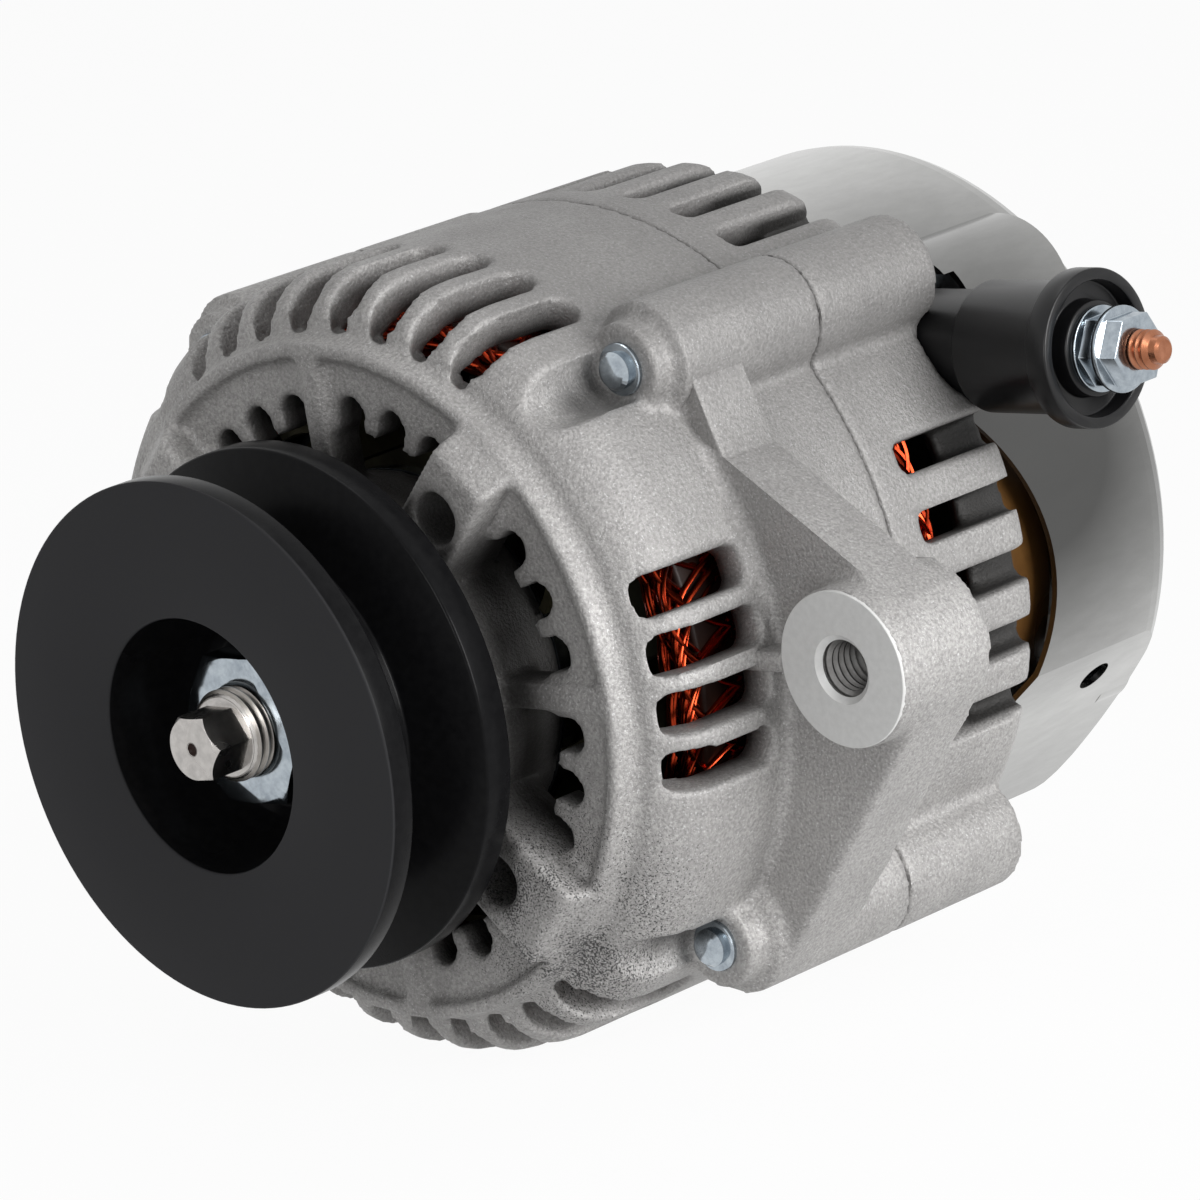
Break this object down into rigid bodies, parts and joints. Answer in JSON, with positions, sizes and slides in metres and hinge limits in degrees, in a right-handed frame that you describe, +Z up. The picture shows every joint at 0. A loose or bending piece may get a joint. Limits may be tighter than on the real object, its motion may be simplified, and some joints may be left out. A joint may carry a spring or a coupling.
{
  "type": "engine alternator with V-belt pulley",
  "caption": "Engine alternator with a single V-belt pulley, two cast brackets, a claw-pole rotor in ball bearings, sprung brushes, a rectifier, a regulator and a pressed rear cover.",
  "frame": {"origin": "On the shaft axis, in the middle plane of the belt groove", "axes": "+Y runs along the shaft from the pulley to the rear cover, +X points to the threaded ear, +Z is up"},
  "size_m": [0.181, 0.1605, 0.122],
  "materials": {
    "cast_alloy": "sand-cast, bare",
    "black_paint": "black enamel",
    "bright_zinc": "bright zinc plate",
    "yellow_zinc": "yellow zinc plate",
    "bare_steel": "machined, bare",
    "bearing_steel": "ground and polished",
    "core_steel": "oiled lamination and forging",
    "spring_steel": "drawn wire",
    "satin_steel": "satin plated sheet",
    "plain_aluminium": "rolled, bare",
    "enamelled_copper": "enamelled wire",
    "bare_copper": "bare copper",
    "pin_brass": "bare brass",
    "brush_carbon": "pressed carbon",
    "brown_resin": "moulded resin",
    "black_plastic": "moulded",
    "glossy_black": "moulded, glossy",
    "pale_plastic": "moulded nylon",
    "seal_rubber": "moulded"
  },
  "bodies": {
    "housing": {"drive_end_bracket": "cast_alloy", "rear_bracket": "cast_alloy", "front_outer_race": "bearing_steel", "front_seals": "seal_rubber", "rear_outer_race": "bearing_steel", "rear_seals": "seal_rubber", "retainer_plate": "bright_zinc", "retainer_screws": "bright_zinc", "stator_core": "core_steel", "stator_winding": "enamelled_copper", "stator_leads": "enamelled_copper", "through_bolts": "bright_zinc", "pivot_bushing": "bare_steel", "rectifier_insulator": "brown_resin", "negative_plate": "plain_aluminium", "positive_plate": "plain_aluminium", "negative_diodes": "bare_steel", "positive_diodes": "bare_steel", "cover_studs": "bright_zinc", "cover_spacers": "bright_zinc", "cover_nuts": "bright_zinc", "rear_cover": "satin_steel", "voltage_regulator": "black_plastic", "plug_socket": "black_plastic", "plug_pins": "pin_brass", "brush_holder": "black_plastic", "holder_screws": "bright_zinc", "brush_spring_front": "spring_steel", "brush_spring_rear": "spring_steel", "terminal_insulator": "glossy_black", "terminal_stud": "bare_copper", "terminal_strap": "bare_copper", "terminal_nuts": "bright_zinc"},
    "rotor": {"pulley": "black_paint", "pulley_nut": "bright_zinc", "rotor_shaft": "bare_steel", "spacer_collar": "bare_steel", "front_inner_race": "bearing_steel", "rear_inner_race": "bearing_steel", "claw_pole_front": "core_steel", "claw_pole_rear": "core_steel", "coil_bobbin": "pale_plastic", "field_coil": "enamelled_copper", "front_fan": "yellow_zinc", "rear_fan": "yellow_zinc", "slip_rings": "bare_copper", "slip_ring_core": "black_plastic"},
    "front_ball_set": {"front_balls": "bearing_steel", "front_cage": "yellow_zinc"},
    "rear_ball_set": {"rear_balls": "bearing_steel", "rear_cage": "yellow_zinc"},
    "front_brush": {"brush_front": "brush_carbon"},
    "rear_brush": {"brush_rear": "brush_carbon"}
  },
  "joints": [
    {"name": "rotor_spin", "type": "hinge", "parent": "housing", "child": "rotor", "pos_m": [0, 0.05, 0], "axis": [0, 1, 0], "continuous": true},
    {"name": "front_balls_roll", "type": "hinge", "parent": "housing", "child": "front_ball_set", "pos_m": [0, 0.027, 0], "axis": [0, 1, 0], "continuous": true},
    {"name": "rear_balls_roll", "type": "hinge", "parent": "housing", "child": "rear_ball_set", "pos_m": [0, 0.0979, 0], "axis": [0, 1, 0], "continuous": true},
    {"name": "front_brush_slide", "type": "slide", "parent": "housing", "child": "front_brush", "axis": [0, 0, 1], "range_m": [0, 0.008], "stiffness_N_per_m": 150, "springref_m": -0.016, "deforming": ["brush_spring_front"]},
    {"name": "rear_brush_slide", "type": "slide", "parent": "housing", "child": "rear_brush", "axis": [0, 0, 1], "range_m": [0, 0.008], "stiffness_N_per_m": 150, "springref_m": -0.016, "deforming": ["brush_spring_rear"]}
  ],
  "couplings": [
    {"joint": "front_balls_roll", "follows": "rotor_spin", "ratio": 0.36562},
    {"joint": "rear_balls_roll", "follows": "rotor_spin", "ratio": 0.38}
  ]
}
